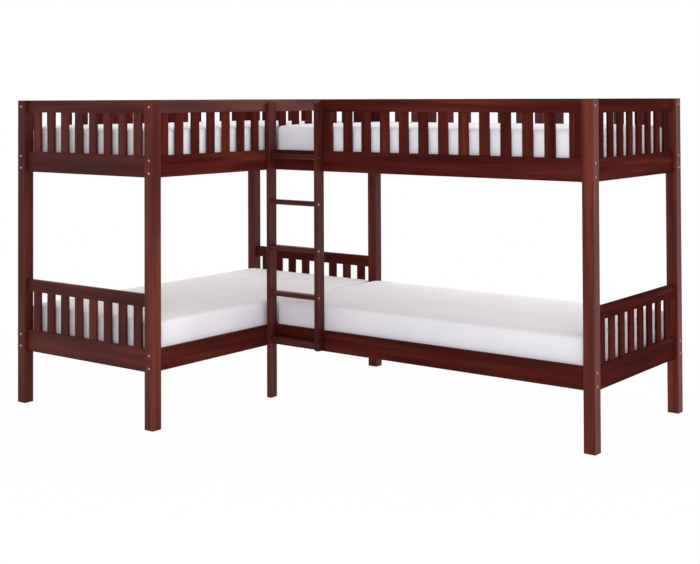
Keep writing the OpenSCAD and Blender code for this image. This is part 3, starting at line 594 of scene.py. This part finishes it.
def woven_cover():
    """Plain white cloth, with a shallow weave over longer waves."""
    material, tree, shader = blank_material("woven_cotton_cover")
    spot = add(tree, "ShaderNodeTexCoord").outputs["Object"]
    weft, warp = (
        add(tree, "ShaderNodeTexWave", {
            "Vector": spot, "Scale": 1000 / WEAVE_MM / WAVES_AT_SCALE_1, "Distortion": 0.4,
        }, bands_direction=axis).outputs["Fac"]
        for axis in "XY"
    )
    weave = add(tree, "ShaderNodeMath", {0: weft, 1: warp}, operation="MAXIMUM")
    waves = add(tree, "ShaderNodeTexNoise", {
        "Vector": spot, "Scale": 1000 / WAVE_MM, "Detail": 2.0, "Roughness": 0.4,
    }).outputs["Fac"]
    soft = add(tree, "ShaderNodeBump", {"Height": waves, "Strength": 0.35, "Distance": 0.010})
    cloth = add(tree, "ShaderNodeBump", {
        "Height": weave.outputs[0], "Strength": 0.12, "Distance": 0.0006,
        "Normal": soft.outputs[0],
    })
    feed(tree, shader, {
        "Base Color": coloured(add(tree, "ShaderNodeValToRGB", {"Fac": waves}), COTTON),
        "Normal": cloth.outputs[0], "Roughness": 0.85,
        "Sheen Weight": 0.15, "Sheen Roughness": 0.5,
    })
    return material


cover = woven_cover()
print("cover cloth ready")

# %% [markdown]
# ## One mattress, blown up softly
# A foam block pushes its cover out from inside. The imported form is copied, shrunk a little, given
# an even mesh, and then simulated as cloth under a small inner pressure. The distance that a point
# may move is capped, so that the long flat faces don't balloon. What rests on the slats stays flat.
# The upper and lower mattresses of an arm are alike, so one simulation serves both. The right arm
# has its own, because the corner post presses one of its corners round.

# %% Mattress simulation
# How far the form is drawn in first, how far a point may then move, and the even mesh's spacing.
PULL_IN, CAP, VOXEL = 0.001, 0.007, 0.015
MERGED_WITHIN = 0.00005
CLOTH = {
    "quality": 5, "mass": 0.3, "tension_stiffness": 12, "compression_stiffness": 12,
    "shear_stiffness": 6, "bending_stiffness": 0.6, "use_pressure": True,
    "uniform_pressure_force": 4,
}
LAST_FRAME = 20


def space_of(node):
    """The middle of a packed mattress's underside, and its size."""
    low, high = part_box(node)
    return Vector(((low.x + high.x) / 2, (low.y + high.y) / 2, low.z)), high - low


def mattress_start(node):
    """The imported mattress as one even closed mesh, a little smaller, with its underside at 0."""
    middle, size = space_of(node)
    work = bmesh.new()
    work.from_mesh(nodes[node].data)
    bmesh.ops.remove_doubles(work, verts=work.verts, dist=MERGED_WITHIN)
    bmesh.ops.recalc_face_normals(work, faces=work.faces)
    for vertex in work.verts:
        at = vertex.co - middle
        vertex.co = Vector((
            at.x * (size.x - 2 * PULL_IN) / size.x,
            at.y * (size.y - 2 * PULL_IN) / size.y,
            PULL_IN / 2 + at.z * (size.z - PULL_IN * 1.5) / size.z,
        ))
    mesh = bpy.data.meshes.new("mattress_work")
    work.to_mesh(mesh)
    work.free()
    made = bpy.data.objects.new("mattress_work", mesh)
    scene.collection.objects.link(made)
    even = made.modifiers.new("even", "REMESH")
    even.mode = "VOXEL"
    even.voxel_size = VOXEL
    return settled(made, "mattress_even"), size


def puffed(piece):
    """Runs the cloth, moves each point with it up to the cap, and returns the farthest move."""
    start = [vertex.co.copy() for vertex in piece.data.vertices]
    cloth = piece.modifiers.new("cover", "CLOTH")
    for name, value in CLOTH.items():
        setattr(cloth.settings, name, value)
    cloth.settings.effector_weights.gravity = 0
    cloth.point_cache.frame_start = 1
    cloth.point_cache.frame_end = LAST_FRAME
    for number in range(1, LAST_FRAME + 1):
        scene.frame_set(number)
    graph = bpy.context.evaluated_depsgraph_get()
    ends = [vertex.co.copy() for vertex in piece.evaluated_get(graph).data.vertices]
    piece.modifiers.remove(cloth)
    scene.frame_set(1)
    for vertex, before, after in zip(piece.data.vertices, start, ends):
        step = after - before
        if step.length > CAP:
            step = step.normalized() * CAP
        vertex.co = before + step
    return max((after - before).length for before, after in zip(start, ends))


forms = {arm: mattress_start(arm + "_lower_mattress") for arm in ("left", "right")}
for arm, (form, size) in forms.items():
    moved_mm = round(puffed(form) * 1000, 1)
    print(arm, "free movement", moved_mm, "mm, capped at", CAP * 1000)

# %% [markdown]
# ## Finish the mattress mesh
# The puffed form is eased and subdivided once. Easing rounds the edges and draws the sides in a
# little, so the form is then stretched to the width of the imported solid, less a small clearance. No
# point lies below the slats or above the crown. The side band is sewn with tight corners, so the
# corners are drawn out a few millimetres, all but the one that the corner post presses round.

# %% Mattress mesh
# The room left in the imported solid's width, the reach of a corner, and how far it is drawn out: 0
# leaves it round, and 1 would make it square.
CLEAR, CORNER, SHARPNESS = 0.001, 0.034, 0.6


def finish_mattress(piece, size, pressed):
    """Smooths and subdivides the form, and fills its space without leaving it."""
    ease = piece.modifiers.new("ease", "SMOOTH")
    ease.factor = 0.5
    ease.iterations = 2
    finer = piece.modifiers.new("finer", "SUBSURF")
    finer.levels = finer.render_levels = 1
    piece = settled(piece, "mattress_form")
    wide = [2 * max(abs(vertex.co[axis]) for vertex in piece.data.vertices) for axis in (0, 1)]
    for vertex in piece.data.vertices:
        at = vertex.co
        at.x *= (size.x - CLEAR) / wide[0]
        at.y *= (size.y - CLEAR) / wide[1]
        at.z = max(0.0, min(size.z, at.z))
        over = Vector((abs(at.x) - size.x / 2 + CORNER, abs(at.y) - size.y / 2 + CORNER))
        against_post = pressed and at.x < 0 < at.y
        if min(over) > 0 and not against_post:
            grow = (over.length / max(over)) ** SHARPNESS - 1
            at.x += math.copysign(over.x * grow, at.x)
            at.y += math.copysign(over.y * grow, at.y)
    for face in piece.data.polygons:
        face.use_smooth = True
    return piece


for arm, (form, size) in forms.items():
    form = finish_mattress(form, size, arm == "right")
    forms[arm] = (form, size)
    form_size = [round(x, 3) for x in form.dimensions]
    print(arm, "mattress faces", len(form.data.polygons), "size", form_size)

# %% [markdown]
# ## Seams of the cover
# The cover is sewn from a top, a bottom and a side band. Each seam is a thin rolled edge with a row
# of stitches beside it. The path of a seam is found by looking at the finished form from outside,
# all round, at the seam's height. Geometry Nodes then turn the path into a thin roll, and put a
# stitch at every step along it.

# %% Seam path
SEAM_POINTS = 260
SEAM_HEIGHTS = (0.012, 0.174)
SEAM_TURN = 0.035
# The roll's radius, and the share of it that sinks into the cover.
ROLL_RADIUS, ROLL_SUNK = 0.0019, 0.55
# How far outside the form the look at it starts.
OUTSIDE = 0.3
CORNERS = ((1, -1), (1, 1), (-1, 1), (-1, -1))


def seam_path(piece, size, height):
    """Points all round the mattress, on its surface at one height."""
    points_of = [vertex.co for vertex in piece.data.vertices]
    tree = BVHTree.FromPolygons(points_of, [face.vertices for face in piece.data.polygons])
    reach = (size.x / 2 - SEAM_TURN, size.y / 2 - SEAM_TURN)
    quarter = math.pi / 2 * SEAM_TURN
    lengths = [2 * reach[1], quarter, 2 * reach[0], quarter] * 2
    total = sum(lengths)
    points = []
    for index in range(SEAM_POINTS):
        along = total * index / SEAM_POINTS
        for side, length in enumerate(lengths):
            if along <= length:
                break
            along -= length
        share = along / length
        corner = CORNERS[(side // 2 + 1) % 4]
        if side % 2 == 0:
            turn = math.radians(45 * side)
            last = CORNERS[side // 2]
            at = [r * (a + (b - a) * share) for r, a, b in zip(reach, last, corner)]
        else:
            turn = math.radians(45 * (side - 1) + 90 * share)
            at = [r * b for r, b in zip(reach, corner)]
        outward = Vector((math.cos(turn), math.sin(turn), 0))
        hit = tree.ray_cast(Vector((*at, height)) + outward * OUTSIDE, -outward)[0]
        points.append(hit - outward * ROLL_RADIUS * ROLL_SUNK)
    return points


seam_paths = {
    arm: [seam_path(form, size, height) for height in SEAM_HEIGHTS]
    for arm, (form, size) in forms.items()
}
print("seam paths", sum(len(paths) for paths in seam_paths.values()), "of", SEAM_POINTS, "points")

# %% Seam tree
ROLL_SIDES, THREAD_SIDES = 8, 6
THREAD_RADIUS = 0.0006
# How far the stitches lie below the roll's middle.
STITCH_DROP = 0.0034


def seam_tree():
    """A rolled edge along a path of edges, and stitches at an even pitch beside it."""
    tree = bpy.data.node_groups.new("sewn_seam", "GeometryNodeTree")
    keys = tree_inputs(tree, {
        "Path": "Geometry", "Roll radius": "Float", "Stitch pitch": "Float",
        "Stitch length": "Float", "Finish": "Material",
    })
    tree.interface.new_socket(name="Seam", in_out="OUTPUT", socket_type="NodeSocketGeometry")
    given = add(tree, "NodeGroupInput").outputs
    line = add(tree, "GeometryNodeMeshToCurve", {"Mesh": given["Path"]})
    ring = add(tree, "GeometryNodeCurvePrimitiveCircle", {
        "Resolution": ROLL_SIDES, "Radius": given["Roll radius"],
    })
    roll = add(tree, "GeometryNodeCurveToMesh", {
        "Curve": line.outputs[0], "Profile Curve": ring.outputs["Curve"],
    })
    steps = add(tree, "GeometryNodeResampleCurve", {
        "Curve": line.outputs[0], "Length": given["Stitch pitch"],
    }, mode="LENGTH")
    heading = add(tree, "GeometryNodeInputTangent")
    turned = add(tree, "FunctionNodeAlignRotationToVector", {
        "Vector": heading.outputs[0],
    }, axis="Z")
    thread = add(tree, "GeometryNodeMeshCylinder", {
        "Vertices": THREAD_SIDES, "Radius": THREAD_RADIUS, "Depth": given["Stitch length"],
    })
    stitches = add(tree, "GeometryNodeInstanceOnPoints", {
        "Points": steps.outputs[0], "Instance": thread.outputs["Mesh"],
        "Rotation": turned.outputs[0],
    })
    lowered = add(tree, "GeometryNodeTranslateInstances", {
        "Instances": stitches.outputs[0], "Translation": (0, 0, -STITCH_DROP),
        "Local Space": False,
    })
    join = add(tree, "GeometryNodeJoinGeometry")
    for part_of_seam in (roll, lowered):
        feed(tree, join, {0: part_of_seam.outputs[0]})
    real = add(tree, "GeometryNodeRealizeInstances", {"Geometry": join.outputs[0]})
    painted = add(tree, "GeometryNodeSetMaterial", {
        "Geometry": real.outputs[0], "Material": given["Finish"],
    })
    add(tree, "NodeGroupOutput", {"Seam": painted.outputs[0]})
    return tree, keys


seam_nodes, seam_keys = seam_tree()
print("seam tree with", len(seam_keys), "inputs")

# %% Seams
STITCH_PITCH, STITCH_LENGTH = 0.012, 0.008


def sewn(paths, name):
    """The seams along some closed paths, as one plain mesh."""
    points, edges = [], []
    for path in paths:
        first, count = len(points), len(path)
        points += path
        edges += [(first + i, first + (i + 1) % count) for i in range(count)]
    mesh = bpy.data.meshes.new(name + "_work")
    mesh.from_pydata(points, edges, [])
    made = ruled(name, mesh, seam_nodes, seam_keys, {
        "Roll radius": ROLL_RADIUS, "Stitch pitch": STITCH_PITCH,
        "Stitch length": STITCH_LENGTH, "Finish": cover,
    })
    return settled(made, name)


seams = {arm: sewn(paths, arm + "_seams") for arm, paths in seam_paths.items()}
print("seam faces", [len(seam.data.polygons) for seam in seams.values()])

# %% [markdown]
# ## Four mattresses in their bunks
# Each arm's form and its seams are copied into the space of its two packed mattresses. The waves of
# the cover read the place in the room, so no two mattresses show the same ones.

# %% Place the mattresses
def placed(source, node, name):
    """A copy of a piece's mesh, moved into the space of one packed mattress."""
    mesh = source.data.copy()
    mesh.transform(Matrix.Translation(space_of(node)[0]))
    mesh.name = name
    made = bpy.data.objects.new(name, mesh)
    scene.collection.objects.link(made)
    return made


for arm, (form, size) in forms.items():
    dress(form, cover)
    for node in (arm + "_lower_mattress", arm + "_upper_mattress"):
        padding = placed(form, node, node + "_cover")
        edge = placed(seams[arm], node, node + "_seams")
        for piece in (padding, edge):
            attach(piece, node + "_body")
        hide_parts(node)
        print("placed", node)
    for spare in (form, seams[arm]):
        bpy.data.objects.remove(spare)
